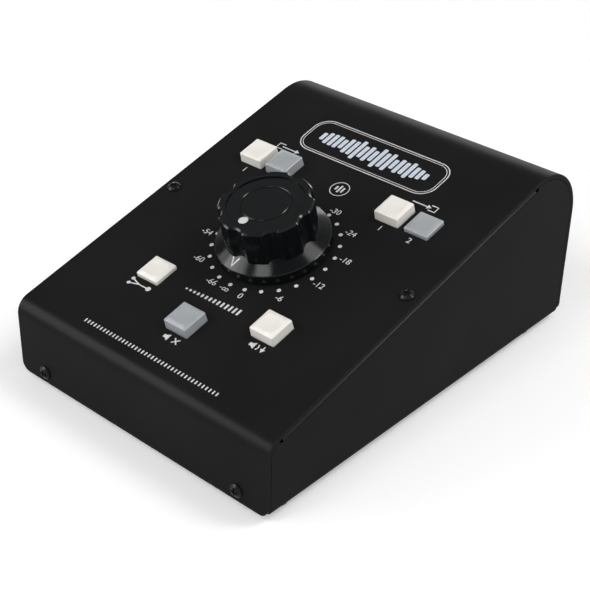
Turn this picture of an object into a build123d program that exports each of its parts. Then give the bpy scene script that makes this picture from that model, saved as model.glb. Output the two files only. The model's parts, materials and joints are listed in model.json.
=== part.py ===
"""Desktop studio monitor controller: a folded sheet-steel wedge with a stepped level knob,
seven push buttons and eight jacks on the rear.

Millimetres, +X right, +Y towards the rear, +Z up. The origin is on the desk, under the
middle of the case. Everything on the sloping panel is placed in the panel's own frame:
x across, "along" up the slope from the front edge, "above" out of the panel's outer face.
"""
from build123d import *
from math import cos, radians, sin, tan
import os

# Case: a folded cover over a base whose sides turn up
case_width = 140.6
case_depth = 195.0
panel_slope = 15.0
front_height = 33.0
sheet = 2.0
seam_gap = 0.25
front_bend_radius = 7.4
rear_bend_radius = 25.5
side_bend_radius = 2.3
side_bend_leg = 1.0
lip_width = 5.5
lip_front_gap = 1.4
lip_notch_radius = 3.3
relief_radius = 1.0
flap_corner_radius = 4.0
base_bend_radius = 2.4
flange_height = 10.0
flange_end_gap = 2.0

# Feet
foot_radius = 6.0
foot_height = 3.2
foot_chamfer = 0.6
foot_side_inset = 8.9
foot_front_inset = 13.0
foot_rear_inset = 22.0

# M3 pan-head screws
screw_radius = 1.45
screw_length = 7.0
screw_head_radius = 2.95
screw_head_height = 2.0
screw_head_rim = 0.7
recess_length = 3.4
recess_width = 0.8
recess_depth = 1.1
clearance_hole_radius = 1.7
tapped_hole_radius = 1.5
case_screw_inset = 15.3
case_screw_height = 5.2
clinch_nut_flats = 5.5
clinch_nut_length = 2.4

# Main board, hung under the panel on two standoffs and the attenuator
board_depth = 16.0
board_thickness = 1.6
board_side_gap = 1.3
board_front_margin = 10.8
board_rear_margin = 9.6
standoff_inset = 5.6
standoff_along = 88.0
standoff_flats = 5.0

# Push buttons
cap_size = 12.4
cap_corner_radius = 0.5
cap_shoulder_size = 11.9
cap_shoulder_rise = 3.9
cap_shoulder_radius = 0.5
cap_top_size = 8.2
cap_top_corner_radius = 1.0
cap_rise = 4.6
cap_skirt = 4.0
cap_wall = 1.0
cap_roof = 2.4
cap_dish_radius = 5.3
cap_dish_depth = 0.65
cap_boss = 6.4
cap_socket_clearance = 0.03
cap_opening_gap = 0.3
latch_depth = 2.6
plunger_size = 4.0
plunger_clearance = 0.15
plunger_rise = 1.5
plunger_overlap = 3.7
plunger_length = 12.8
switch_size = 8.4
switch_height = 8.0
switch_floor = 1.0
switch_pin = 0.6
switch_pin_length = 3.2
switch_pin_spacing = 2.54
switch_pin_row_gap = 5.08
pin_hole_gap = 0.15
pair_side_inset = 32.1
pair_spacing = 15.0
pair_rear_gap = 45.0
mode_side_inset = 38.1
mode_along = 45.0
mute_along = 29.8

# Stepped attenuator
knob_along = 82.7
attenuator_radius = 16.0
attenuator_chamfer = 0.8
bushing_radius = 5.0
bushing_rise = 7.0
bushing_hole_gap = 0.2
key_radius = 1.0
key_offset = 12.5
key_rise = -0.2
key_hole_gap = 0.2
shaft_radius = 3.0
shaft_clearance = 0.05
shaft_rise = 18.5
shaft_flat = 2.5
shaft_flat_length = 9.5
board_shaft_gap = 0.8
thread_gap = 0.05
washer_radius = 8.5
washer_thickness = 0.8
nut_flats = 14.0
nut_thickness = 2.5
rotor_radius = 11.0
rotor_thickness = 2.0
rotor_drop = 1.4
wiper_gap = 0.3
wiper_width = 2.4
wiper_inner_radius = 5.0
deck_radius = 18.0
deck_drop = 6.4
deck_bore_radius = 4.0
deck_spacer_count = 3
deck_spacer_ring_radius = 15.0
deck_spacer_flats = 5.0
deck_screw_radius = 1.2
deck_screw_length = 5.0
deck_screw_head_radius = 2.2
deck_screw_head_height = 1.4
deck_hole_gap = 0.2
attenuator_step_count = 24
resistor_length = 3.2
resistor_width = 1.6
resistor_height = 0.6
resistor_ring_radius = 9.0

# Knob
knob_rim_radius = 24.4
knob_rim_bottom = 1.4
knob_rim_top = 5.1
knob_rim_edge_radius = 0.6
knob_cone_radius = 16.5
knob_cone_top = 10.0
knob_body_radius = 20.0
knob_body_bottom = 6.0
knob_top = 23.3
knob_flute_count = 8
flute_radius = 5.0
flute_depth = 1.7
flute_turn = 3.0
lobe_edge_radius = 1.6
knob_chamfer = 0.7
knob_face_radius = 16.4
knob_face_depth = 0.55
knob_groove_radius = 10.4
knob_groove_width = 1.1
knob_groove_depth = 0.35
knob_rim_wall = 1.9
knob_cavity_roof = 4.6
knob_hub_cavity_radius = 10.0
knob_hub_gap = 1.2
insert_radius = 6.0
insert_length = 10.5
set_screw_radius = 2.0
set_screw_length = 9.0
set_screw_rise = 13.5
set_screw_tip_gap = 0.05
set_screw_hole_gap = 0.1
hex_socket_flats = 2.0
hex_socket_depth = 2.0
pointer_angle = -4.7
pointer_radius = 12.4
pointer_dot_radius = 2.15
pointer_dot_depth = 0.2

# Rear jacks for 6.35 mm plugs
jack_side_inset = 22.3
jack_low_row_height = 19.0
jack_row_spacing = 20.0
jack_bore_radius = 3.25
jack_bore_depth = 31.0
jack_barrel_radius = 4.75
jack_barrel_lip = 0.7
jack_barrel_chamfer = 0.3
jack_hole_gap = 0.2
jack_body_width = 15.0
jack_body_length = 28.0
jack_body_chamfer = 1.5
jack_pin = 1.0
jack_pin_length = 2.6
jack_pin_spread = 10.0
jack_washer_radius = 6.8
jack_washer_thickness = 0.5
jack_nut_flats = 12.7
jack_nut_thickness = 2.2
jack_board_margin = 10.0

# Ribbon cable between the boards
header_width = 27.6
header_across = 8.2
header_height = 6.0
header_wall = 1.1
header_floor = 1.5
plug_gap = 0.2
plug_height = 7.0
main_header_inset = 7.0
ribbon_width = 20.0
ribbon_thickness = 0.9
ribbon_bend_radius = 5.0

# Places worked out from the sizes above
half_width = case_width / 2
half_depth = case_depth / 2
case_bottom = foot_height
slope = radians(panel_slope)
peak_height = front_height + case_depth * tan(slope)
inner_half_width = half_width - sheet
inner_half_depth = half_depth - sheet
bend_start = front_bend_radius * tan((radians(90) - slope) / 2)
bend_end = case_depth / cos(slope) - rear_bend_radius * tan((radians(90) + slope) / 2)
lip_start = bend_start + lip_front_gap
lip_top = -sheet - seam_gap
flange_half_width = half_width - base_bend_radius - flange_end_gap
case_screw_x = half_width - case_screw_inset
standoff_x = half_width - standoff_inset
pair_x = half_width - pair_side_inset
pair_along = bend_end - pair_rear_gap
mode_x = half_width - mode_side_inset
board_half_width = inner_half_width - board_side_gap
board_front = mute_along - board_front_margin
board_rear = pair_along + board_rear_margin
board_top = -board_depth
board_bottom = board_top - board_thickness
deck_top = board_bottom - deck_drop
deck_bottom = deck_top - board_thickness
rotor_top = board_bottom - rotor_drop
rotor_bottom = rotor_top - rotor_thickness
cap_opening = cap_size + 2 * cap_opening_gap
cap_ceiling = cap_rise - cap_roof
plunger_bottom = plunger_rise - plunger_length
switch_top = board_top + switch_height
shaft_bore_radius = shaft_radius + shaft_clearance
knob_hub_bottom = bushing_rise + knob_hub_gap
insert_top = knob_hub_bottom + insert_length
knob_face = knob_top - knob_face_depth
jack_body_end = -sheet - jack_body_length
jack_barrel_rise = jack_washer_thickness + jack_nut_thickness + jack_barrel_lip
jack_board_rear = half_depth + jack_body_end
jack_board_front = jack_board_rear - board_thickness
jack_header_height = jack_low_row_height + jack_row_spacing / 2
main_header_along = board_rear - main_header_inset
plug_end = header_floor + plug_height

panel = Plane(
    origin=(0, -half_depth, case_bottom + front_height),
    x_dir=(1, 0, 0),
    z_dir=(0, -sin(slope), cos(slope)),
)

# Each button: name, place on the panel, and whether it rests latched down
buttons = [
    ("mono", -mode_x, mode_along, True),
    ("mute", 0.0, mute_along, False),
    ("dim", mode_x, mode_along, False),
    ("output_1", -pair_x - pair_spacing / 2, pair_along, False),
    ("output_2", -pair_x + pair_spacing / 2, pair_along, False),
    ("input_1", pair_x - pair_spacing / 2, pair_along, False),
    ("input_2", pair_x + pair_spacing / 2, pair_along, True),
]

# Jack columns from left to right, and rows from the bottom up
jack_columns = ["output_1", "output_2", "input_1", "input_2"]
jack_channels = ["right", "left"]


def on_panel(x, along, above=0.0):
    """Location on the sloping panel, Z pointing out of it."""
    return panel.location * Pos(x, along, above)


def facing_front(x, height):
    """Location on the front flap's outer face, Z pointing forwards."""
    origin = (x, -half_depth, case_bottom + height)
    return Location(Plane(origin=origin, x_dir=(1, 0, 0), z_dir=(0, -1, 0)))


def facing_rear(x, height):
    """Location on the rear flap's outer face, Z pointing rearwards."""
    origin = (x, half_depth, case_bottom + height)
    return Location(Plane(origin=origin, x_dir=(-1, 0, 0), z_dir=(0, 1, 0)))


def block(width, depth, bottom, top):
    """Upright box centred in X and Y between two heights."""
    return Pos(0, 0, (bottom + top) / 2) * Box(width, depth, top - bottom)


def rod(radius, bottom, top):
    """Upright cylinder between two heights."""
    return Pos(0, 0, (bottom + top) / 2) * Cylinder(radius, top - bottom)


def hexagon_bar(flats, bottom, top):
    """Upright hexagonal bar, measured across its flats."""
    outline = RegularPolygon(flats / 2, 6, major_radius=False)
    return Pos(0, 0, bottom) * extrude(outline, top - bottom)


def punch(outline, place):
    """Cut right through the sheet at a place on its outer face."""
    return place * extrude(outline, 2 * sheet, both=True)


def case_screw_places():
    places = []
    for x in (-case_screw_x, case_screw_x):
        places.append(facing_front(x, case_screw_height))
        places.append(facing_rear(x, case_screw_height))
    return places


def standoff_places(above=0.0):
    return [on_panel(side * standoff_x, standoff_along, above) for side in (-1, 1)]


def jack_places():
    """Name and place of each jack on the rear flap."""
    outer = half_width - jack_side_inset
    spacing = 2 * outer / (len(jack_columns) - 1)
    places = {}
    for row, channel in enumerate(jack_channels):
        height = jack_low_row_height + row * jack_row_spacing
        for column, circuit in enumerate(jack_columns):
            places[f"jack_{circuit}_{channel}"] = facing_rear(column * spacing - outer, height)
    return places


# ---------------------------------------------------------------- case


def side_profile(end_inset, top_inset, bottom):
    """The wedge seen from the side, moved in from its ends and from the panel."""
    front = -half_depth + end_inset
    rear = half_depth - end_inset
    base_line = case_bottom + front_height - top_inset / cos(slope)
    front_top = (front, base_line + end_inset * tan(slope))
    rear_top = (rear, base_line + (case_depth - end_inset) * tan(slope))
    outline = make_face(Polyline((front, bottom), front_top, rear_top, (rear, bottom), close=True))
    for corner, bend_radius in ((front_top, front_bend_radius), (rear_top, rear_bend_radius)):
        vertex = outline.vertices().sort_by_distance(corner)[0]
        outline = fillet(vertex, bend_radius - end_inset)
    return Plane.YZ * outline


def folded_strip():
    """Front flap, panel and rear flap in one strip, its lower corners rounded."""
    section = side_profile(0, 0, case_bottom) - side_profile(sheet, sheet, case_bottom - sheet)
    strip = extrude(section, half_width, both=True)
    outline = Rectangle(case_width, peak_height, align=(Align.CENTER, Align.MIN))
    outline = fillet(outline.vertices().group_by(Axis.Y)[0], flap_corner_radius)
    return strip & extrude(Plane.XZ * Pos(0, case_bottom) * outline, half_depth, both=True)


def cover_holes():
    """Every opening punched in the cover."""
    screw_hole = Circle(clearance_hole_radius)
    cap_hole = RectangleRounded(cap_opening, cap_opening, cap_corner_radius + cap_opening_gap)
    holes = [punch(screw_hole, place) for place in case_screw_places() + standoff_places()]
    holes += [punch(cap_hole, on_panel(x, along)) for _, x, along, _ in buttons]
    holes.append(punch(Circle(bushing_radius + bushing_hole_gap), on_panel(0, knob_along)))
    holes.append(punch(Circle(key_radius + key_hole_gap), on_panel(0, knob_along + key_offset)))
    jack_hole = Circle(jack_barrel_radius + jack_hole_gap)
    holes += [punch(jack_hole, place) for place in jack_places().values()]
    return holes


def top_cover():
    return folded_strip() - cover_holes()


def folded_section(width, height, bend_radius):
    """Section of a sheet lying on Y = 0 with both its edges turned up."""
    outer = Rectangle(width, height, align=(Align.CENTER, Align.MIN))
    outer = fillet(outer.vertices().group_by(Axis.Y)[0], bend_radius)
    inner = Rectangle(width - 2 * sheet, height, align=(Align.CENTER, Align.MIN))
    inner = fillet(inner.vertices().group_by(Axis.Y)[0], bend_radius - sheet)
    return outer - Pos(0, sheet) * inner


def side_walls():
    """Floor and both sides in one channel, trimmed to lie inside the cover."""
    section = Pos(0, case_bottom) * folded_section(case_width, peak_height, base_bend_radius)
    channel = extrude(Plane.XZ * section, half_depth, both=True)
    wedge = side_profile(sheet + seam_gap, sheet + seam_gap, case_bottom)
    return channel & extrude(wedge, half_width, both=True)


def side_lips():
    """The tops of both sides, turned in under the straight part of the panel."""
    leg = side_bend_radius + side_bend_leg
    opening = Rectangle(case_width - 2 * lip_width, 2 * leg)
    section = Rot(0, 0, 180) * folded_section(case_width, leg, side_bend_radius) - opening
    section = Pos(0, lip_top) * section
    lips = on_panel(0, bend_end) * extrude(Plane.XZ * section, bend_end - lip_start)
    return lips - [place * rod(lip_notch_radius, lip_top - leg, 0) for place in standoff_places()]


def bend_reliefs():
    """Round holes that free the ends of the two side lips."""
    holes = []
    for side in (-1, 1):
        for along in (lip_start, bend_end):
            place = on_panel(side * (half_width - side_bend_radius), along, lip_top - side_bend_radius)
            hole = rod(relief_radius, -side_bend_radius, 2 * side_bend_radius)
            holes.append(place * Rot(0, side * 45, 0) * hole)
    return holes


def base_flanges():
    """Floor with a flange turned up at the front and rear, between the sides."""
    section = folded_section(2 * inner_half_depth, flange_height, base_bend_radius)
    section = Pos(0, case_bottom) * section
    return extrude(Plane.YZ * section, flange_half_width, both=True)


def base_plate():
    """Base bent up on all four sides: low flanges at the ends, full-height sides with lips."""
    flat_width = case_width - 2 * base_bend_radius
    end_space = block(flat_width, 2 * base_bend_radius, case_bottom, case_bottom + flange_height)
    bend_space = block(2 * case_width, bend_end - lip_start, lip_top - side_bend_radius, 0)
    walls = side_walls() - on_panel(0, (lip_start + bend_end) / 2) * bend_space
    walls -= [Pos(0, side * inner_half_depth, 0) * end_space for side in (-1, 1)]
    holes = [punch(Circle(clearance_hole_radius), place) for place in case_screw_places()]
    return walls + side_lips() + base_flanges() - bend_reliefs() - holes


def rubber_foot():
    foot = rod(foot_radius, 0, foot_height)
    return chamfer(foot.edges().group_by(Axis.Z)[0], foot_chamfer)


def rubber_feet():
    x = half_width - foot_side_inset
    spots = [
        Pos(side * x, y, 0)
        for side in (-1, 1)
        for y in (-half_depth + foot_front_inset, half_depth - foot_rear_inset)
    ]
    return [spot * rubber_foot() for spot in spots]


# ---------------------------------------------------------------- fasteners


def pan_screw():
    """M3 screw: a cross-slotted head standing on Z = 0, a short rim under a dome, and its shank."""
    rise = screw_head_height - screw_head_rim
    dome_radius = (screw_head_radius**2 + rise**2) / (2 * rise)
    dome = Pos(0, 0, screw_head_height - dome_radius) * Sphere(dome_radius)
    head = rod(screw_head_radius, 0, screw_head_height) & dome
    floor = screw_head_height - recess_depth
    slot = block(recess_length, recess_width, floor, screw_head_height)
    return head - slot - Rot(0, 0, 90) * slot + rod(screw_radius, -screw_length, 0)


def clinch_nut():
    """Nut on the inside of the base flange, placed from the cover's outer face."""
    seat = -2 * sheet
    nut = hexagon_bar(clinch_nut_flats, seat - clinch_nut_length, seat)
    return nut - rod(tapped_hole_radius, seat - clinch_nut_length, seat)


def board_standoff():
    standoff = hexagon_bar(standoff_flats, board_top, -sheet)
    return standoff - rod(tapped_hole_radius, board_top, -sheet)


def board_screw_places():
    """Under the main board, Z pointing away from it."""
    return [place * Rot(180, 0, 0) for place in standoff_places(board_bottom)]


# ---------------------------------------------------------------- buttons


def switch_pins(size, bottom, top):
    spots = GridLocations(switch_pin_row_gap, switch_pin_spacing, 2, 3)
    return [spot * block(size, size, bottom, top) for spot in spots]


def button_cap():
    """Hollow square cap: drafted sides, a broad bevel and a dish in its top."""
    foot = Pos(0, 0, -cap_skirt) * RectangleRounded(cap_size, cap_size, cap_corner_radius)
    shoulder = RectangleRounded(cap_shoulder_size, cap_shoulder_size, cap_corner_radius)
    shoulder = Pos(0, 0, cap_shoulder_rise) * shoulder
    top = Pos(0, 0, cap_rise) * RectangleRounded(cap_top_size, cap_top_size, cap_top_corner_radius)
    cap = loft([foot, shoulder, top], ruled=True)
    shoulder_edges = cap.edges().filter_by_position(Axis.Z, cap_shoulder_rise, cap_shoulder_rise)
    cap = fillet(shoulder_edges, cap_shoulder_radius)
    sphere_radius = (cap_dish_radius**2 + cap_dish_depth**2) / (2 * cap_dish_depth)
    cap -= Pos(0, 0, cap_rise - cap_dish_depth + sphere_radius) * Sphere(sphere_radius)
    hollow = cap_size - 2 * cap_wall
    cap -= block(hollow, hollow, -cap_skirt, cap_ceiling)
    cap += block(cap_boss, cap_boss, plunger_rise - plunger_overlap, cap_ceiling)
    socket = plunger_size + 2 * cap_socket_clearance
    return cap - block(socket, socket, plunger_rise - plunger_overlap, plunger_rise)


def button_plunger():
    return block(plunger_size, plunger_size, plunger_bottom, plunger_rise)


def button_switch():
    """Switch body standing on the main board, its pins through it."""
    body = block(switch_size, switch_size, board_top, switch_top)
    well = plunger_size + 2 * plunger_clearance
    body -= block(well, well, board_top + switch_floor, switch_top)
    return body + switch_pins(switch_pin, board_top - switch_pin_length, board_top)


# ---------------------------------------------------------------- boards


def main_board():
    """Board under the panel, in the panel's frame, drilled for what stands on it."""
    middle = (board_front + board_rear) / 2
    plate = block(2 * board_half_width, board_rear - board_front, board_bottom, board_top)
    board = on_panel(0, middle) * plate
    for _, x, along, _ in buttons:
        size = switch_pin + 2 * pin_hole_gap
        board -= [on_panel(x, along) * pin for pin in switch_pins(size, board_bottom, board_top)]
    shaft_hole = rod(shaft_radius + board_shaft_gap, board_bottom, board_top)
    board -= on_panel(0, knob_along) * shaft_hole
    screw_hole = rod(clearance_hole_radius, board_bottom, board_top)
    return board - [place * screw_hole for place in standoff_places()]


def jack_pins(size, bottom, top):
    spots = GridLocations(jack_pin_spread, jack_pin_spread, 2, 2)
    return [spot * block(size, size, bottom, top) for spot in spots]


def jack_board():
    """Upright board behind the jacks."""
    half_span = half_width - jack_side_inset + jack_board_margin
    bottom = case_bottom + jack_low_row_height - jack_board_margin
    top = case_bottom + jack_low_row_height + jack_row_spacing + jack_board_margin
    plate = block(2 * half_span, board_thickness, bottom, top)
    board = Pos(0, (jack_board_front + jack_board_rear) / 2, 0) * plate
    size = jack_pin + 2 * pin_hole_gap
    holes = jack_pins(size, jack_body_end - board_thickness, jack_body_end)
    return board - [place * hole for place in jack_places().values() for hole in holes]


# ---------------------------------------------------------------- attenuator


def attenuator_housing():
    """Can clamped under the panel by its threaded bushing, with an anti-turn key."""
    can = rod(attenuator_radius, board_top, -sheet)
    can = chamfer(can.edges().group_by(Axis.Z)[-1], attenuator_chamfer)
    key = Pos(0, key_offset, 0) * rod(key_radius, -sheet, key_rise)
    housing = can + rod(bushing_radius, -sheet, bushing_rise) + key
    return housing - rod(shaft_bore_radius, board_top, bushing_rise)


def attenuator_washer():
    ring = rod(washer_radius, 0, washer_thickness)
    return ring - rod(bushing_radius + thread_gap, 0, washer_thickness)


def attenuator_nut():
    top = washer_thickness + nut_thickness
    nut = hexagon_bar(nut_flats, washer_thickness, top)
    return nut - rod(bushing_radius + thread_gap, washer_thickness, top)


def attenuator_shaft():
    """Shaft with a flat near its top, which faces the knob's set screw."""
    shaft = rod(shaft_radius, rotor_bottom, shaft_rise)
    flat = block(2 * shaft_radius, 2 * shaft_radius, shaft_rise - shaft_flat_length, shaft_rise)
    return shaft - Pos(0, shaft_flat + shaft_radius, 0) * flat


def attenuator_rotor():
    """Disc on the shaft's foot, with two wipers reaching down to the deck."""
    rotor = rod(rotor_radius, rotor_bottom, rotor_top)
    wiper = block(rotor_radius - wiper_inner_radius, wiper_width, deck_top + wiper_gap, rotor_bottom)
    reach = (rotor_radius + wiper_inner_radius) / 2
    rotor += [Pos(side * reach, 0, 0) * wiper for side in (-1, 1)]
    return rotor & rod(rotor_radius, deck_top, rotor_top) - rod(shaft_bore_radius, deck_top, rotor_top)


def deck_spacer_spots():
    return PolarLocations(deck_spacer_ring_radius, deck_spacer_count, start_angle=90)


def attenuator_deck():
    """Round contact board under the main board."""
    deck = rod(deck_radius, deck_bottom, deck_top) - rod(deck_bore_radius, deck_bottom, deck_top)
    hole = rod(deck_screw_radius + deck_hole_gap, deck_bottom, deck_top)
    return deck - [spot * hole for spot in deck_spacer_spots()]


def deck_spacer():
    spacer = hexagon_bar(deck_spacer_flats, deck_top, board_bottom)
    return spacer - rod(deck_screw_radius + thread_gap, deck_top, board_bottom)


def deck_screw():
    screw = rod(deck_screw_head_radius, 0, deck_screw_head_height)
    screw += rod(deck_screw_radius, -deck_screw_length, 0)
    return Pos(0, 0, deck_bottom) * Rot(180, 0, 0) * screw


def ladder_resistors():
    """One chip resistor for each step, in a ring under the deck."""
    chip = block(resistor_length, resistor_width, deck_bottom - resistor_height, deck_bottom)
    return [spot * chip for spot in PolarLocations(resistor_ring_radius, attenuator_step_count)]


# ---------------------------------------------------------------- knob


def knob_skirt():
    """Flat-sided rim under a broad cone, in section then turned."""
    outline = Polyline(
        (0, knob_rim_bottom),
        (knob_rim_radius, knob_rim_bottom),
        (knob_rim_radius, knob_rim_top),
        (knob_cone_radius, knob_cone_top),
        (0, knob_cone_top),
        close=True,
    )
    section = make_face(outline)
    shoulder = section.vertices().sort_by_distance((knob_rim_radius, knob_rim_top))[0]
    return revolve(Plane.XZ * fillet(shoulder, knob_rim_edge_radius), Axis.Z)


def knob_grip():
    """Fluted body, its lobes softened and its top edge bevelled all round."""
    flutes = PolarLocations(knob_body_radius - flute_depth + flute_radius, knob_flute_count)
    outline = Circle(knob_body_radius) - [spot * Circle(flute_radius) for spot in flutes]
    outline = Rot(0, 0, flute_turn) * fillet(outline.vertices(), lobe_edge_radius)
    grip = Pos(0, 0, knob_body_bottom) * extrude(outline, knob_top - knob_body_bottom)
    return chamfer(grip.faces().sort_by(Axis.Z)[-1].edges(), knob_chamfer)


def set_screw_space(radius, start, length):
    """Cylinder lying towards the rear at the set screw's height."""
    return Pos(0, 0, set_screw_rise) * Rot(-90, 0, 0) * rod(radius, start, start + length)


def face_groove():
    """Shallow groove of round section, in a ring round the middle of the knob's face."""
    half = knob_groove_width / 2
    section_radius = (half**2 + knob_groove_depth**2) / (2 * knob_groove_depth)
    rise = section_radius - knob_groove_depth
    return Pos(0, 0, knob_face + rise) * Torus(knob_groove_radius, section_radius)


def knob():
    body = knob_skirt() + knob_grip()
    body -= rod(knob_face_radius, knob_face, knob_top)
    dot = Pos(0, -pointer_radius, 0) * rod(pointer_dot_radius, knob_face - pointer_dot_depth, knob_face)
    body -= [face_groove(), Rot(0, 0, pointer_angle) * dot]
    body -= rod(knob_rim_radius - knob_rim_wall, knob_rim_bottom, knob_cavity_roof)
    body -= rod(knob_hub_cavity_radius, knob_cavity_roof, knob_hub_bottom)
    body -= rod(insert_radius, knob_hub_bottom, insert_top)
    return body - set_screw_space(set_screw_radius + set_screw_hole_gap, 0, knob_rim_radius)


def knob_insert():
    """Brass bush moulded into the knob, bored for the shaft and tapped for the set screw."""
    bush = rod(insert_radius, knob_hub_bottom, insert_top)
    bush -= rod(shaft_bore_radius, knob_hub_bottom, insert_top)
    return bush - set_screw_space(set_screw_radius + thread_gap, 0, insert_radius)


def knob_set_screw():
    start = shaft_flat + set_screw_tip_gap
    screw = set_screw_space(set_screw_radius, start, set_screw_length)
    end = start + set_screw_length
    socket = hexagon_bar(hex_socket_flats, end - hex_socket_depth, end)
    return screw - Pos(0, 0, set_screw_rise) * Rot(-90, 0, 0) * socket


# ---------------------------------------------------------------- rear jacks


def jack():
    """Plug socket on the rear flap's outer face: body inside, threaded barrel outside."""
    body = block(jack_body_width, jack_body_width, jack_body_end, -sheet)
    body = chamfer(body.edges().filter_by(Axis.Z), jack_body_chamfer)
    barrel = rod(jack_barrel_radius, -sheet, jack_barrel_rise)
    barrel = chamfer(barrel.edges().group_by(Axis.Z)[-1], jack_barrel_chamfer)
    socket = body + barrel - rod(jack_bore_radius, jack_barrel_rise - jack_bore_depth, jack_barrel_rise)
    return socket + jack_pins(jack_pin, jack_body_end - jack_pin_length, jack_body_end)


def jack_washer():
    ring = rod(jack_washer_radius, 0, jack_washer_thickness)
    return ring - rod(jack_barrel_radius + thread_gap, 0, jack_washer_thickness)


def jack_nut():
    top = jack_washer_thickness + jack_nut_thickness
    nut = hexagon_bar(jack_nut_flats, jack_washer_thickness, top)
    return nut - rod(jack_barrel_radius + thread_gap, jack_washer_thickness, top)


# ---------------------------------------------------------------- ribbon cable


def header_places():
    """Under the main board and on the jack board's front, Z pointing away from the board."""
    jack_side = (0, jack_board_front, case_bottom + jack_header_height)
    return [
        on_panel(0, main_header_along, board_bottom) * Rot(180, 0, 0),
        Location(Plane(origin=jack_side, x_dir=(1, 0, 0), z_dir=(0, -1, 0))),
    ]


def board_header():
    """Shrouded header: an open box that the plug sits in."""
    shroud = block(header_width, header_across, 0, header_height)
    wall = 2 * header_wall
    return shroud - block(header_width - wall, header_across - wall, header_floor, header_height)


def ribbon_plug():
    inset = 2 * (header_wall + plug_gap)
    return block(header_width - inset, header_across - inset, header_floor, plug_end)


def ribbon_cable():
    """Flat cable from plug to plug: down from the main board, then level to the rear."""
    starts = [place * Pos(0, 0, plug_end) for place in header_places()]
    first, last = [start.position for start in starts]
    drop = (first.Z - last.Z) / cos(slope)
    corner = first + Vector(0, sin(slope), -cos(slope)) * drop
    path = FilletPolyline(first, corner, last, radius=ribbon_bend_radius)
    section = Plane(origin=first, x_dir=(1, 0, 0), z_dir=path % 0)
    return sweep(section * Rectangle(ribbon_width, ribbon_thickness), path)


# ---------------------------------------------------------------- nodes


def copies(shape, places):
    return [place * shape for place in places]


def write_node(name, shapes):
    """One STEP file for a piece, or for a group of alike pieces."""
    export_step(Compound(shapes), f"parts/{name}.step")


def write_case():
    write_node("top_cover", [top_cover()])
    write_node("base_plate", [base_plate()])
    write_node("rubber_feet", rubber_feet())
    write_node("case_nuts", copies(clinch_nut(), case_screw_places()))
    write_node("case_screws", copies(pan_screw(), case_screw_places()))
    write_node("standoff_screws", copies(pan_screw(), standoff_places()))
    write_node("board_standoffs", copies(board_standoff(), standoff_places()))
    write_node("board_screws", copies(pan_screw(), board_screw_places()))
    write_node("main_board", [main_board()])


def write_buttons():
    for name, x, along, latched in buttons:
        place = on_panel(x, along)
        rest = place * Pos(0, 0, -latch_depth if latched else 0)
        write_node(f"{name}_switch", [place * button_switch()])
        write_node(f"{name}_plunger", [rest * button_plunger()])
        write_node(f"{name}_cap", [rest * button_cap()])


def write_attenuator():
    axis = on_panel(0, knob_along)
    spots = deck_spacer_spots()
    write_node("attenuator_housing", [axis * attenuator_housing()])
    write_node("attenuator_washer", [axis * attenuator_washer()])
    write_node("attenuator_nut", [axis * attenuator_nut()])
    write_node("attenuator_shaft", [axis * attenuator_shaft()])
    write_node("attenuator_rotor", [axis * attenuator_rotor()])
    write_node("attenuator_deck", [axis * attenuator_deck()])
    write_node("deck_spacers", copies(deck_spacer(), [axis * spot for spot in spots]))
    write_node("deck_screws", copies(deck_screw(), [axis * spot for spot in spots]))
    write_node("ladder_resistors", [axis * chip for chip in ladder_resistors()])
    write_node("knob", [axis * knob()])
    write_node("knob_insert", [axis * knob_insert()])
    write_node("knob_set_screw", [axis * knob_set_screw()])


def write_rear():
    places = jack_places()
    for name, place in places.items():
        write_node(name, [place * jack()])
    write_node("jack_washers", copies(jack_washer(), places.values()))
    write_node("jack_nuts", copies(jack_nut(), places.values()))
    write_node("jack_board", [jack_board()])
    write_node("board_headers", copies(board_header(), header_places()))
    write_node("ribbon_plugs", copies(ribbon_plug(), header_places()))
    write_node("ribbon_cable", [ribbon_cable()])


os.makedirs("parts", exist_ok=True)
write_case()
write_buttons()
write_attenuator()
write_rear()
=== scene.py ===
"""Looks of the desktop studio monitor controller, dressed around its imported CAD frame.

Blender 4.5, metres. Sizes are written in millimetres times mm. Marks on the sloping panel are
placed in the panel's own frame: x across, y up the slope from the front edge, z out of it.
"""

import json
import math

import bmesh
import bpy
from mathutils import Matrix, Vector


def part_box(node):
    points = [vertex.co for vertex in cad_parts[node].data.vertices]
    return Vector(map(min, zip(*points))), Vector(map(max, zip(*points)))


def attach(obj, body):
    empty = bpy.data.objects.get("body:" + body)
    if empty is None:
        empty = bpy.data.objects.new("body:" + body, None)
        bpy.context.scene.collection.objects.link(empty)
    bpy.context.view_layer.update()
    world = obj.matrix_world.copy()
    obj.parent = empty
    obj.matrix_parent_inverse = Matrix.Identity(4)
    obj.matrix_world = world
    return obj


mm = 0.001

# Blender's noise stays mostly between these values, and its digits are this high at size 1.
noise_low = 0.3
noise_high = 0.7
font_digit_height = 0.73

# Gloss varies this many times as finely as colour.
gloss_mottle = 3

# Panel print. The ink stands this far above and below the surface.
ink = 0.05 * mm
line = 0.42 * mm
digit_height = 3.0 * mm
knob_along = 82.7 * mm
dial_step_angle = 15
dial_dot_radius = 0.9 * mm
dial_dot_ring = 27.3 * mm
number_ring = 30.4 * mm
number_side_shift = 1.8 * mm
dial_numbers = ["0", "-6", "-12", "-18", "-24", "-30", "-36", "-42", "-48", "-54", "-60", "-66"]
infinity_ring = 0.72 * mm
infinity_line = 0.9 * line
infinity_dash = 0.9 * mm
infinity_gap = 0.6 * mm

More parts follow.
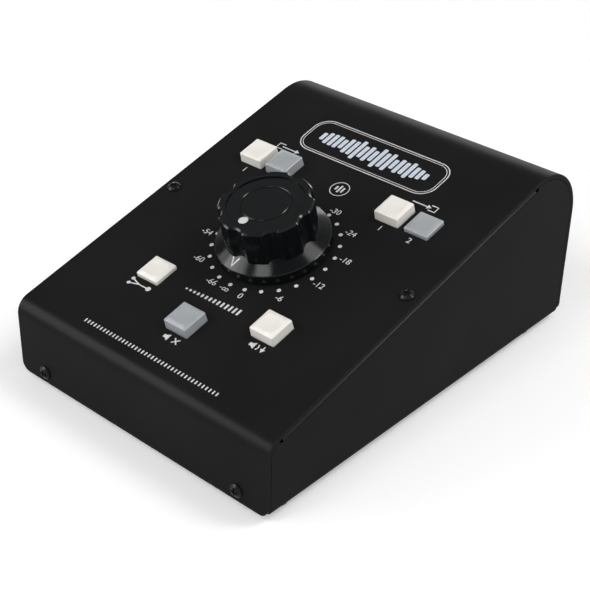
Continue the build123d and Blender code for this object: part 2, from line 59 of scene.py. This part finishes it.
# Button captions, a drawn symbol for each
bold_line = 0.62 * mm
speaker_mouth = -0.3 * mm
cross_along = 3.5 * mm
cross_half = 1.35 * mm
wave_radius = 1.7 * mm
wave_half_angle = 50
drop_along = 3.7 * mm
drop_half = 1.7 * mm
drop_head = 1.9 * mm
channel_dot_radius = 0.85 * mm
sum_dot_radius = 1.2 * mm
arrow_head = 2.1 * mm
arrow_wing = 0.62
arrow_in_bracket = 3.2 * mm
arrow_outside = 6.4 * mm
mode_caption_gap = 9.35 * mm
pair_caption_gap = 11.1 * mm
pair_number_gap = 9.45 * mm

# Graphic panel above the knob: a framed row of level bars
badge_centre = (-1.6 * mm, 149.4 * mm)
badge_size = (73.9 * mm, 21.7 * mm)
badge_radius = 7.5 * mm
badge_gap = 1.15 * mm
badge_outer_line = 1.25 * line
badge_inner_line = 0.8 * line
bar_count = 21
bar_spacing = 2.85 * mm
bar_width = 2.0 * mm
bar_height = 14.0 * mm
bar_corner = 0.3 * bar_width
bar_swell = 0.4
bar_ripple = 0.32
bar_waves = (2.1, 0.9)

# Round mark between the knob and the graphic panel
round_mark_along = 124.5 * mm
round_mark_radius = 4.3 * mm
round_mark_bars = (2.4 * mm, 4.6 * mm, 3.2 * mm)
round_mark_bar_width = 0.9 * mm
round_mark_bar_corner = 0.25 * mm
round_mark_bar_spacing = 1.7 * mm

# Rising level steps under the dial, and the row of ticks along the front
steps_along = 45.4 * mm
steps_length = 29.0 * mm
step_count = 14
step_width = 1.0 * mm
step_corner = 0.2 * step_width
step_heights = (0.9 * mm, 3.3 * mm)
rule_along = 8.85 * mm
rule_length = 73.6 * mm
rule_tick_count = 41
rule_tick_width = 0.68 * mm
rule_tick_height = 1.8 * mm
rule_tick_corner = 0.3 * rule_tick_width

# Knob marks. The skirt's cone is its radius and height at the edge and at the top.
pointer_angle = math.radians(-4.7)
pointer_ring = 12.4 * mm
pointer_radius = 2.1 * mm
pointer_floor = 22.55 * mm
pointer_dome = 0.28 * mm
cone_edge = (24.4 * mm, 5.1 * mm)
cone_top = (16.5 * mm, 10.0 * mm)
chevron_ring = 21.2 * mm
chevron_half_width = 1.65 * mm
chevron_length = 4.4 * mm
chevron_line = 0.95 * mm

# Camera
camera_place = Vector((0.33213, -0.38253, 0.34358))
camera_forward = Vector((-0.55891, 0.63608, -0.53200))
camera_roll = math.radians(1.207)
camera_lens = 84.53
camera_sensor = 36

# Light. The world dims towards one direction. Each pair is the cosine of the angle from that
# direction, and the share of white there.
dim_azimuth = -82
dim_elevation = 60
dim_start = (0.2, 1.0)
dim_end = (0.75, 0.14)
lamp_distance = 1.3

# Floor. Its glow rises with distance. Each pair is metres from the object, and strength.
floor_size = 8.0
floor_dark = 0.89
floor_light = 0.9
floor_mottle = 3
glow_near = (0.3, 0.23)
glow_far = (2.2, 0.6)

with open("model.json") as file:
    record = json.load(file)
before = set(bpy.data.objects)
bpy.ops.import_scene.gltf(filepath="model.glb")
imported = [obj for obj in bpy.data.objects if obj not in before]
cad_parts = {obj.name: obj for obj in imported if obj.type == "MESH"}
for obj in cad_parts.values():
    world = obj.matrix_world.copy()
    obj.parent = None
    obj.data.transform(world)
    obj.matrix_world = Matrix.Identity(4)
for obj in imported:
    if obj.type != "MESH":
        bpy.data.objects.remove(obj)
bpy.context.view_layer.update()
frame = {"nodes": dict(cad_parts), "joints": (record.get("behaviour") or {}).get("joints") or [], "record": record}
nodes = frame["nodes"]

level_turn = next(joint for joint in frame["joints"] if joint["name"] == "level_turn")
across = Vector((1, 0, 0))
out = Vector(level_turn["axis"]).normalized()
up_slope = out.cross(across)
knob_frame = Matrix((across, up_slope, out)).transposed().to_4x4()
knob_frame.translation = Vector(level_turn["pos_m"])
panel = knob_frame @ Matrix.Translation((0, -knob_along, 0))


# ---------------------------------------------------------------- materials


def socket(tree, source, output, target, name):
    """Link an output of one node to an input of another."""
    tree.links.new(source.outputs[output], target.inputs[name])


def noise(tree, scale, detail=2.0, stretch=(1, 1, 1)):
    """Noise over the surface, its scale in features for each metre."""
    place = tree.nodes.new("ShaderNodeTexCoord")
    mapping = tree.nodes.new("ShaderNodeMapping")
    mapping.inputs["Scale"].default_value = stretch
    texture = tree.nodes.new("ShaderNodeTexNoise")
    texture.inputs["Scale"].default_value = scale
    texture.inputs["Detail"].default_value = detail
    socket(tree, place, "Object", mapping, "Vector")
    socket(tree, mapping, "Vector", texture, "Vector")
    return texture


def between(tree, texture, low, high):
    """The texture's values, mapped to the range from low to high."""
    spread = tree.nodes.new("ShaderNodeMapRange")
    spread.inputs["From Min"].default_value = noise_low
    spread.inputs["From Max"].default_value = noise_high
    spread.inputs["To Min"].default_value = low
    spread.inputs["To Max"].default_value = high
    socket(tree, texture, "Fac", spread, "Value")
    return spread


def tinted(tree, texture, dark, light):
    """Two colours, mixed by the texture."""
    share = between(tree, texture, 0, 1)
    mix = tree.nodes.new("ShaderNodeMix")
    mix.data_type = "RGBA"
    mix.inputs["A"].default_value = (*dark, 1)
    mix.inputs["B"].default_value = (*light, 1)
    socket(tree, share, "Result", mix, "Factor")
    return mix


def bumped(tree, shader, texture, height, strength):
    """Fine relief from the texture, its height in metres."""
    bump = tree.nodes.new("ShaderNodeBump")
    bump.inputs["Distance"].default_value = height
    bump.inputs["Strength"].default_value = strength
    socket(tree, texture, "Fac", bump, "Height")
    socket(tree, bump, "Normal", shader, "Normal")


def surface(name, dark, light, roughness, metallic=0.0, specular=0.5, mottle=90, grain=1500,
            grain_height=0.02 * mm, grain_strength=0.2, stretch=(1, 1, 1), coat=0.0, coat_roughness=0.2):
    """Principled surface with cloudy colour from dark to light, uneven gloss and a fine grain.

    The roughness is its lowest and highest value. Mottle and grain are features for each metre.
    """
    made = bpy.data.materials.new(name)
    made.use_nodes = True
    tree = made.node_tree
    shader = tree.nodes["Principled BSDF"]
    shader.inputs["Metallic"].default_value = metallic
    shader.inputs["Specular IOR Level"].default_value = specular
    shader.inputs["Coat Weight"].default_value = coat
    shader.inputs["Coat Roughness"].default_value = coat_roughness
    clouds = noise(tree, mottle, detail=4.0, stretch=stretch)
    socket(tree, tinted(tree, clouds, dark, light), "Result", shader, "Base Color")
    smears = noise(tree, gloss_mottle * mottle, detail=3.0, stretch=stretch)
    socket(tree, between(tree, smears, *roughness), "Result", shader, "Roughness")
    bumped(tree, shader, noise(tree, grain, stretch=stretch), grain_height, grain_strength)
    return made


def grey(value):
    return (value, value, value)


def make_materials():
    """One finish for each material slot of the record, and two inks."""
    looks = {
        "case_paint": dict(
            dark=grey(0.0106), light=grey(0.0126), roughness=(0.3, 0.38), specular=0.004,
            mottle=30, grain=1900, grain_strength=0.25, coat=0.06, coat_roughness=0.28),
        "foot_rubber": dict(
            dark=grey(0.012), light=grey(0.02), roughness=(0.75, 0.9), specular=0.25, grain=2600),
        "black_screw": dict(
            dark=grey(0.008), light=grey(0.014), roughness=(0.16, 0.24), specular=0.09,
            grain=3000),
        "bright_steel": dict(
            dark=grey(0.5), light=(0.6, 0.6, 0.58), roughness=(0.24, 0.4), metallic=1.0,
            grain=2400),
        "nickel": dict(
            dark=(0.56, 0.54, 0.5), light=(0.66, 0.64, 0.6), roughness=(0.16, 0.3), metallic=1.0,
            grain=1800),
        "brass": dict(
            dark=(0.6, 0.4, 0.14), light=(0.72, 0.5, 0.2), roughness=(0.22, 0.36), metallic=1.0,
            grain=2000),
        "cast_housing": dict(
            dark=grey(0.42), light=grey(0.54), roughness=(0.4, 0.55), metallic=1.0, grain=1200),
        "board": dict(
            dark=(0.008, 0.07, 0.03), light=(0.016, 0.13, 0.055), roughness=(0.22, 0.34),
            mottle=300, grain=900),
        "chip_body": dict(
            dark=grey(0.02), light=grey(0.035), roughness=(0.45, 0.6), grain=3000),
        "dark_moulding": dict(
            dark=grey(0.018), light=grey(0.028), roughness=(0.4, 0.5), grain=2200),
        "grey_moulding": dict(
            dark=grey(0.2), light=grey(0.26), roughness=(0.42, 0.52), grain=2200),
        "ribbon_jacket": dict(
            dark=grey(0.32), light=grey(0.4), roughness=(0.4, 0.55), mottle=1, grain=1,
            grain_height=0.3 * mm, grain_strength=0.6, stretch=(800, 20, 20)),
        "jack_body": dict(
            dark=grey(0.012), light=grey(0.02), roughness=(0.3, 0.42), grain=2200),
        "cap_white": dict(
            dark=(0.79, 0.765, 0.715), light=(0.83, 0.805, 0.755), roughness=(0.36, 0.46),
            specular=0.4, mottle=160, grain=2600, grain_height=0.01 * mm),
        "cap_grey": dict(
            dark=(0.315, 0.33, 0.345), light=(0.345, 0.36, 0.375), roughness=(0.36, 0.46),
            specular=0.4, mottle=160, grain=2600, grain_height=0.01 * mm),
        "knob_gloss": dict(
            dark=(0.0038, 0.0045, 0.005), light=(0.005, 0.0056, 0.0062), roughness=(0.12, 0.18),
            specular=0.17, mottle=120, grain=300, grain_height=0.004 * mm, grain_strength=0.08),
        "white_ink": dict(
            dark=grey(0.56), light=grey(0.66), roughness=(0.4, 0.55), specular=0.3, mottle=900,
            grain=5000),
        "pale_ink": dict(
            dark=(0.53, 0.575, 0.65), light=(0.61, 0.655, 0.73), roughness=(0.4, 0.55),
            specular=0.3, mottle=900, grain=5000),
    }
    return {name: surface(name, **look) for name, look in looks.items()}


def dress_nodes(materials):
    """Give each CAD node the finish of its slot in the record."""
    for row in frame["record"]["subparts"]:
        node = nodes[row["node"]]
        node.data.materials.clear()
        node.data.materials.append(materials[row["material_slot"]])


# ---------------------------------------------------------------- flat shapes for print


def arc(radius, start, end, steps, centre=(0, 0)):
    """Points along a round arc, angles in degrees."""
    points = []
    for step in range(steps + 1):
        angle = math.radians(start + (end - start) * step / steps)
        points.append((centre[0] + radius * math.cos(angle), centre[1] + radius * math.sin(angle)))
    return points


def circle(radius, centre=(0, 0), steps=24):
    """Points round a full circle, none of them twice."""
    return arc(radius, 0, 360, steps, centre)[:-1]


def rounded_rectangle(width, height, radius, steps=8):
    """Points round a rectangle centred on the origin, with this many steps in each corner."""
    corners = [(1, 1, 0), (-1, 1, 90), (-1, -1, 180), (1, -1, 270)]
    points = []
    for side, end, start in corners:
        centre = (side * (width / 2 - radius), end * (height / 2 - radius))
        points += arc(radius, start, start + 90, steps, centre)
    return points


def mesh_from(curve):
    """The curve's own body as a mesh."""
    holder = bpy.data.objects.new("holder", curve)
    bpy.context.scene.collection.objects.link(holder)
    bpy.context.view_layer.update()
    made = bpy.data.meshes.new_from_object(holder.evaluated_get(bpy.context.evaluated_depsgraph_get()))
    bpy.data.objects.remove(holder)
    return made


def filled(points):
    """A closed outline as a thin plate of ink."""
    curve = bpy.data.curves.new("filled", "CURVE")
    curve.dimensions = "2D"
    curve.fill_mode = "BOTH"
    curve.extrude = ink
    spline = curve.splines.new("POLY")
    spline.points.add(len(points) - 1)
    for point, (x, y) in zip(spline.points, points):
        point.co = (x, y, 0, 1)
    spline.use_cyclic_u = True
    return mesh_from(curve)


def stroke(points, width, closed=False):
    """A line of ink along a path, a little thicker along its middle."""
    curve = bpy.data.curves.new("stroke", "CURVE")
    curve.dimensions = "3D"
    curve.bevel_depth = width / 2
    curve.bevel_resolution = 2
    curve.use_fill_caps = True
    spline = curve.splines.new("POLY")
    spline.points.add(len(points) - 1)
    for point, (x, y) in zip(spline.points, points):
        point.co = (x, y, 0, 1)
    spline.use_cyclic_u = closed
    made = mesh_from(curve)
    made.transform(Matrix.Diagonal((1, 1, 2 * ink / width, 1)))
    return made


def digits(words):
    """Numbers centred on the origin."""
    curve = bpy.data.curves.new("digits", "FONT")
    curve.body = words
    curve.size = digit_height / font_digit_height
    curve.align_x = "CENTER"
    curve.extrude = ink
    made = mesh_from(curve)
    made.transform(Matrix.Translation((0, -digit_height / 2, 0)))
    return made


def moved(mesh, x, y):
    mesh.transform(Matrix.Translation((x, y, 0)))
    return mesh


def printed(name, meshes, material, place=panel, body="case"):
    """Join flat shapes into one piece, lay it on the surface and let it ride there."""
    joined = bmesh.new()
    for mesh in meshes:
        joined.from_mesh(mesh)
        bpy.data.meshes.remove(mesh)
    data = bpy.data.meshes.new(name)
    joined.to_mesh(data)
    joined.free()
    data.transform(place)
    data.materials.append(material)
    made = bpy.data.objects.new(name, data)
    bpy.context.scene.collection.objects.link(made)
    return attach(made, body)


# ---------------------------------------------------------------- dial


def on_ring(radius, angle):
    """A place round the knob, the angle measured from the front towards +X."""
    turn = math.radians(angle)
    return radius * math.sin(turn), knob_along - radius * math.cos(turn)


def dial_dots():
    """Dots all round the dial, one at each step."""
    places = [on_ring(dial_dot_ring, angle) for angle in range(0, 360, dial_step_angle)]
    return [filled(circle(dial_dot_radius, place)) for place in places]


def number_place(angle):
    """Middle of a dial number. Those at the sides stand a little further out."""
    radius = number_ring + number_side_shift * abs(math.sin(math.radians(angle)))
    return on_ring(radius, angle)


def infinity_sign():
    """A minus sign and two rings that touch."""
    centres = [(side * infinity_ring, 0) for side in (-1, 1)]
    rings = [stroke(circle(infinity_ring, centre), infinity_line, closed=True) for centre in centres]
    dash_end = -2 * infinity_ring - infinity_gap
    dash = stroke([(dash_end - infinity_dash, 0), (dash_end, 0)], line)
    return [dash, *rings]


def dial_labels():
    """Numbers at every other dot, and the infinity sign at the front."""
    made = []
    for step, words in enumerate(dial_numbers):
        angle = dial_step_angle * (2 * step + 1)
        made.append(moved(digits(words), *number_place(angle)))
    made += [moved(shape, *number_place(0)) for shape in infinity_sign()]
    return made


def level_steps():
    """A row of bars below the dial, each a little taller than the one before."""
    low, high = step_heights
    made = []
    for step in range(step_count):
        share = step / (step_count - 1)
        height = low + (high - low) * share
        bar = rounded_rectangle(step_width, height, step_corner, steps=3)
        x = (share - 0.5) * (steps_length - step_width)
        made.append(moved(filled(bar), x, steps_along + (height - high) / 2))
    return made


# ---------------------------------------------------------------- captions


def speaker():
    """Loudspeaker outline, drawn to the left of the origin."""
    back, box_end = -3.1 * mm, -1.9 * mm
    box_half, cone_half = 0.8 * mm, 1.75 * mm
    return filled([
        (back, -box_half), (box_end, -box_half), (speaker_mouth, -cone_half),
        (speaker_mouth, cone_half), (box_end, box_half), (back, box_half)])


def arrow(start, end, head):
    """A straight arrow along x or y, as a line and a filled head."""
    (x0, y0), (x1, y1) = start, end
    length = math.hypot(x1 - x0, y1 - y0)
    dx, dy = (x1 - x0) / length, (y1 - y0) / length
    neck = (x1 - dx * head, y1 - dy * head)
    wing = arrow_wing * head
    tip = filled([(x1, y1), (neck[0] - dy * wing, neck[1] + dx * wing),
                  (neck[0] + dy * wing, neck[1] - dx * wing)])
    return [stroke([start, neck], bold_line), tip]


def muted_symbol():
    """Loudspeaker with a cross beside it."""
    start, end = cross_along - cross_half, cross_along + cross_half
    return [
        speaker(),
        stroke([(start, -cross_half), (end, cross_half)], bold_line),
        stroke([(start, cross_half), (end, -cross_half)], bold_line)]


def dimmed_symbol():
    """Loudspeaker with one wave and an arrow down."""
    wave = arc(wave_radius, -wave_half_angle, wave_half_angle, 8, (speaker_mouth, 0))
    drop = arrow((drop_along, drop_half), (drop_along, -drop_half), drop_head)
    return [speaker(), stroke(wave, bold_line), *drop]


def summed_symbol():
    """Two channels joined into one."""
    start, join, end, half = -5.6 * mm, -0.8 * mm, 4.6 * mm, 1.4 * mm
    return [
        stroke([(start, half), (join, 0)], bold_line),
        stroke([(start, -half), (join, 0)], bold_line),
        stroke([(join, 0), (end, 0)], bold_line),
        filled(circle(channel_dot_radius, (start, half))),
        filled(circle(channel_dot_radius, (start, -half))),
        filled(circle(sum_dot_radius, (end, 0)))]


def bracket(side):
    """A square bracket that opens towards the other side."""
    reach, back, half = side * 2.4 * mm, side * 5.8 * mm, 1.6 * mm
    return stroke([(reach, half), (back, half), (back, -half), (reach, -half)], bold_line)


def output_symbol():
    """An arrow out of a bracket."""
    return [bracket(-1), *arrow((-arrow_in_bracket, 0), (arrow_outside, 0), arrow_head)]


def input_symbol():
    """An arrow into a bracket."""
    return [bracket(1), *arrow((-arrow_outside, 0), (arrow_in_bracket, 0), arrow_head)]


def panel_place(node):
    """Middle of a CAD node, in the panel's frame."""
    low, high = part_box(node)
    return panel.inverted() @ ((low + high) / 2)


def captions():
    """A symbol before each single button, and one behind each pair."""
    made = []
    for name, symbol in (("mono", summed_symbol), ("mute", muted_symbol), ("dim", dimmed_symbol)):
        place = panel_place(f"{name}_switch")
        made += [moved(shape, place.x, place.y - mode_caption_gap) for shape in symbol()]
    for name, symbol in (("output", output_symbol), ("input", input_symbol)):
        first, second = panel_place(f"{name}_1_switch"), panel_place(f"{name}_2_switch")
        middle = (first.x + second.x) / 2
        made += [moved(shape, middle, first.y + pair_caption_gap) for shape in symbol()]
    return made


def pair_numbers():
    """A number before each button of a pair."""
    made = []
    for name in ("output", "input"):
        for number in ("1", "2"):
            place = panel_place(f"{name}_{number}_switch")
            made.append(moved(digits(number), place.x, place.y - pair_number_gap))
    return made


# ---------------------------------------------------------------- graphics


def badge_frame():
    """Two rounded outlines, one inside the other."""
    width, height = badge_size
    made = []
    for inset, thickness in ((0, badge_outer_line), (badge_gap, badge_inner_line)):
        outline = rounded_rectangle(width - 2 * inset, height - 2 * inset, badge_radius - inset)
        made.append(moved(stroke(outline, thickness, closed=True), *badge_centre))
    return made


def level_bars():
    """A row of rounded bars that swells and fades like a sound."""
    made = []
    for bar in range(bar_count):
        share = (bar - (bar_count - 1) / 2) / (bar_count / 2)
        swell = math.cos(share * math.pi / 2) ** bar_swell
        wave = math.sin(bar_waves[0] * bar) * math.cos(bar_waves[1] * bar)
        ripple = 1 - bar_ripple * (1 - wave)
        height = bar_width + (bar_height - bar_width) * swell * ripple
        outline = rounded_rectangle(bar_width, height, bar_corner, steps=4)
        x = share * bar_count / 2 * bar_spacing
        made.append(moved(filled(outline), badge_centre[0] + x, badge_centre[1]))
    return made


def round_mark():
    """A ring round three level bars."""
    made = [stroke(circle(round_mark_radius, steps=40), line, closed=True)]
    for step, height in enumerate(round_mark_bars):
        bar = rounded_rectangle(round_mark_bar_width, height, round_mark_bar_corner, steps=3)
        made.append(moved(filled(bar), (step - 1) * round_mark_bar_spacing, 0))
    return [moved(shape, 0, round_mark_along) for shape in made]


def base_rule():
    """A row of plain ticks along the front of the panel."""
    made = []
    for step in range(rule_tick_count):
        x = (step / (rule_tick_count - 1) - 0.5) * rule_length
        outline = rounded_rectangle(rule_tick_width, rule_tick_height, rule_tick_corner, steps=3)
        made.append(moved(filled(outline), x, rule_along))
    return made


# ---------------------------------------------------------------- knob marks


def pointer_dot():
    """A domed spot of paint that fills the recess in the knob's face."""
    dome = bmesh.new()
    rings = 5
    steps = 32
    loops = []
    for ring in range(rings):
        share = ring / rings
        radius = pointer_radius * math.cos(share * math.pi / 2) ** 0.5
        height = pointer_dome * share
        points = circle(radius, steps=steps)
        loops.append([dome.verts.new((x, y, height)) for x, y in points])
    top = dome.verts.new((0, 0, pointer_dome))
    for low, high in zip(loops, loops[1:]):
        for step in range(steps):
            following = (step + 1) % steps
            dome.faces.new((low[step], low[following], high[following], high[step]))
    for step in range(steps):
        dome.faces.new((loops[-1][step], loops[-1][(step + 1) % steps], top))
    dome.faces.new(list(reversed(loops[0])))
    for face in dome.faces:
        face.smooth = True
    data = bpy.data.meshes.new("dome")
    dome.to_mesh(data)
    dome.free()
    return data


def pointer_chevron():
    """A V that points away from the knob's axis."""
    return stroke([
        (-chevron_half_width, chevron_length / 2),
        (0, -chevron_length / 2),
        (chevron_half_width, chevron_length / 2)], chevron_line)


def knob_marks(ink_material):
    """The dot in the knob's face, and the V laid on the skirt's cone."""
    turned = knob_frame @ Matrix.Rotation(pointer_angle, 4, "Z")
    dot_place = turned @ Matrix.Translation((0, -pointer_ring, pointer_floor))
    printed("pointer_dot", [pointer_dot()], ink_material, dot_place, "level_knob")
    run = cone_edge[0] - cone_top[0]
    rise = cone_top[1] - cone_edge[1]
    height = cone_edge[1] + (cone_edge[0] - chevron_ring) * rise / run
    lean = Matrix.Rotation(math.atan2(rise, run), 4, "X")
    cone_place = turned @ Matrix.Translation((0, -chevron_ring, height)) @ lean
    printed("pointer_chevron", [pointer_chevron()], ink_material, cone_place, "level_knob")


def print_everything(materials):
    """All the print, each group as one piece."""
    white = materials["white_ink"]
    printed("dial_dots", dial_dots(), white)
    printed("dial_numbers", dial_labels(), white)
    printed("level_steps", level_steps(), white)
    printed("button_captions", captions(), white)
    printed("button_numbers", pair_numbers(), white)
    printed("graphic_frame", badge_frame(), white)
    printed("graphic_bars", level_bars(), materials["pale_ink"])
    printed("round_mark", round_mark(), white)
    printed("base_rule", base_rule(), white)
    knob_marks(white)


# ---------------------------------------------------------------- stage


def aimed(azimuth, elevation):
    """Direction from the object. Azimuth 0 is in front of it, 90 to its right."""
    turn, tilt = math.radians(azimuth), math.radians(elevation)
    return Vector((math.sin(turn) * math.cos(tilt), -math.cos(turn) * math.cos(tilt), math.sin(tilt)))


def make_world():
    """White sweep behind and to the right, dimming overhead and towards the left."""
    world = bpy.data.worlds.new("studio")
    bpy.context.scene.world = world
    world.use_nodes = True
    tree = world.node_tree
    place = tree.nodes.new("ShaderNodeTexCoord")
    along = tree.nodes.new("ShaderNodeVectorMath")
    along.operation = "DOT_PRODUCT"
    along.inputs[1].default_value = aimed(dim_azimuth, dim_elevation)
    socket(tree, place, "Generated", along, 0)
    fade = tree.nodes.new("ShaderNodeMapRange")
    fade.interpolation_type = "SMOOTHSTEP"
    fade.inputs["From Min"].default_value, fade.inputs["To Min"].default_value = dim_start
    fade.inputs["From Max"].default_value, fade.inputs["To Max"].default_value = dim_end
    socket(tree, along, "Value", fade, "Value")
    socket(tree, fade, "Result", tree.nodes["Background"], "Color")


def seen_rays(tree):
    """1 for rays from the camera and for those mirrored or passed on by the object, else 0."""
    path = tree.nodes.new("ShaderNodeLightPath")
    total = None
    for name in ("Is Camera Ray", "Is Glossy Ray", "Is Transmission Ray"):
        step = tree.nodes.new("ShaderNodeMath")
        step.operation = "MAXIMUM"
        step.inputs[1].default_value = 0.0
        socket(tree, path, name, step, 0)
        if total:
            socket(tree, total, "Value", step, 1)
        total = step
    return total


def floor_glow(tree):
    """Glow of the floor where it is seen or mirrored, rising away from the object."""
    place = tree.nodes.new("ShaderNodeTexCoord")
    away = tree.nodes.new("ShaderNodeVectorMath")
    away.operation = "LENGTH"
    socket(tree, place, "Object", away, 0)
    rise = tree.nodes.new("ShaderNodeMapRange")
    rise.inputs["From Min"].default_value, rise.inputs["To Min"].default_value = glow_near
    rise.inputs["From Max"].default_value, rise.inputs["To Max"].default_value = glow_far
    socket(tree, away, "Value", rise, "Value")
    strength = tree.nodes.new("ShaderNodeMath")
    strength.operation = "MULTIPLY"
    socket(tree, seen_rays(tree), "Value", strength, 0)
    socket(tree, rise, "Result", strength, 1)
    return strength


def make_floor():
    """Pale floor that keeps the object's shadow."""
    half = floor_size / 2
    corners = [(-half, -half, 0), (half, -half, 0), (half, half, 0), (-half, half, 0)]
    data = bpy.data.meshes.new("floor")
    data.from_pydata(corners, [], [(0, 1, 2, 3)])
    floor = bpy.data.objects.new("floor", data)
    bpy.context.scene.collection.objects.link(floor)
    paper = bpy.data.materials.new("floor_paper")
    paper.use_nodes = True
    tree = paper.node_tree
    tree.nodes.remove(tree.nodes["Principled BSDF"])
    diffuse = tree.nodes.new("ShaderNodeBsdfDiffuse")
    fibres = tinted(tree, noise(tree, floor_mottle), grey(floor_dark), grey(floor_light))
    socket(tree, fibres, "Result", diffuse, "Color")
    emission = tree.nodes.new("ShaderNodeEmission")
    emission.inputs["Color"].default_value = (1, 1, 1, 1)
    socket(tree, floor_glow(tree), "Value", emission, "Strength")
    add = tree.nodes.new("ShaderNodeAddShader")
    socket(tree, diffuse, "BSDF", add, 0)
    socket(tree, emission, "Emission", add, 1)
    socket(tree, add, "Shader", tree.nodes["Material Output"], "Surface")
    data.materials.append(paper)


def softbox(name, azimuth, elevation, size, power):
    """Area lamp aimed at the object. Its size is across and up, its power in watts."""
    direction = aimed(azimuth, elevation)
    data = bpy.data.lights.new(name, "AREA")
    data.shape = "RECTANGLE"
    data.size, data.size_y = size
    data.energy = power
    lamp = bpy.data.objects.new(name, data)
    lamp.location = direction * lamp_distance
    lamp.rotation_mode = "QUATERNION"
    lamp.rotation_quaternion = (-direction).to_track_quat("-Z", "Y")
    bpy.context.scene.collection.objects.link(lamp)
    return lamp


def card(name, azimuth, elevation, size, brightness):
    """Bright card that shows only in reflections. A brightness of 1 is white."""
    power = brightness * math.pi * size[0] * size[1]
    softbox(name, azimuth, elevation, size, power).visible_diffuse = False


def make_lights():
    softbox("front_left_softbox", azimuth=-44, elevation=27, size=(1.4, 0.5), power=7.0)
    softbox("front_softbox", azimuth=-5, elevation=52, size=(0.32, 0.35), power=3.0)
    softbox("rear_right_softbox", azimuth=126, elevation=58, size=(0.4, 0.6), power=5.2)
    card("front_card", azimuth=-44, elevation=24, size=(0.7, 0.95), brightness=7.5)
    card("right_card", azimuth=118, elevation=30, size=(0.4, 0.85), brightness=19)
    card("rear_card", azimuth=-146, elevation=12, size=(1.6, 0.45), brightness=2.4)
    card("left_card", azimuth=-117, elevation=51, size=(0.8, 0.7), brightness=0.28)


def make_camera():
    data = bpy.data.cameras.new("camera")
    data.lens = camera_lens
    data.sensor_width = camera_sensor
    camera = bpy.data.objects.new("camera", data)
    look = camera_forward.to_track_quat("-Z", "Y").to_matrix().to_4x4()
    roll = Matrix.Rotation(camera_roll, 4, "Z")
    camera.matrix_world = Matrix.Translation(camera_place) @ look @ roll
    bpy.context.scene.collection.objects.link(camera)
    bpy.context.scene.camera = camera


bpy.context.scene.view_settings.view_transform = "Standard"
finishes = make_materials()
dress_nodes(finishes)
print_everything(finishes)
make_world()
make_floor()
make_lights()
make_camera()
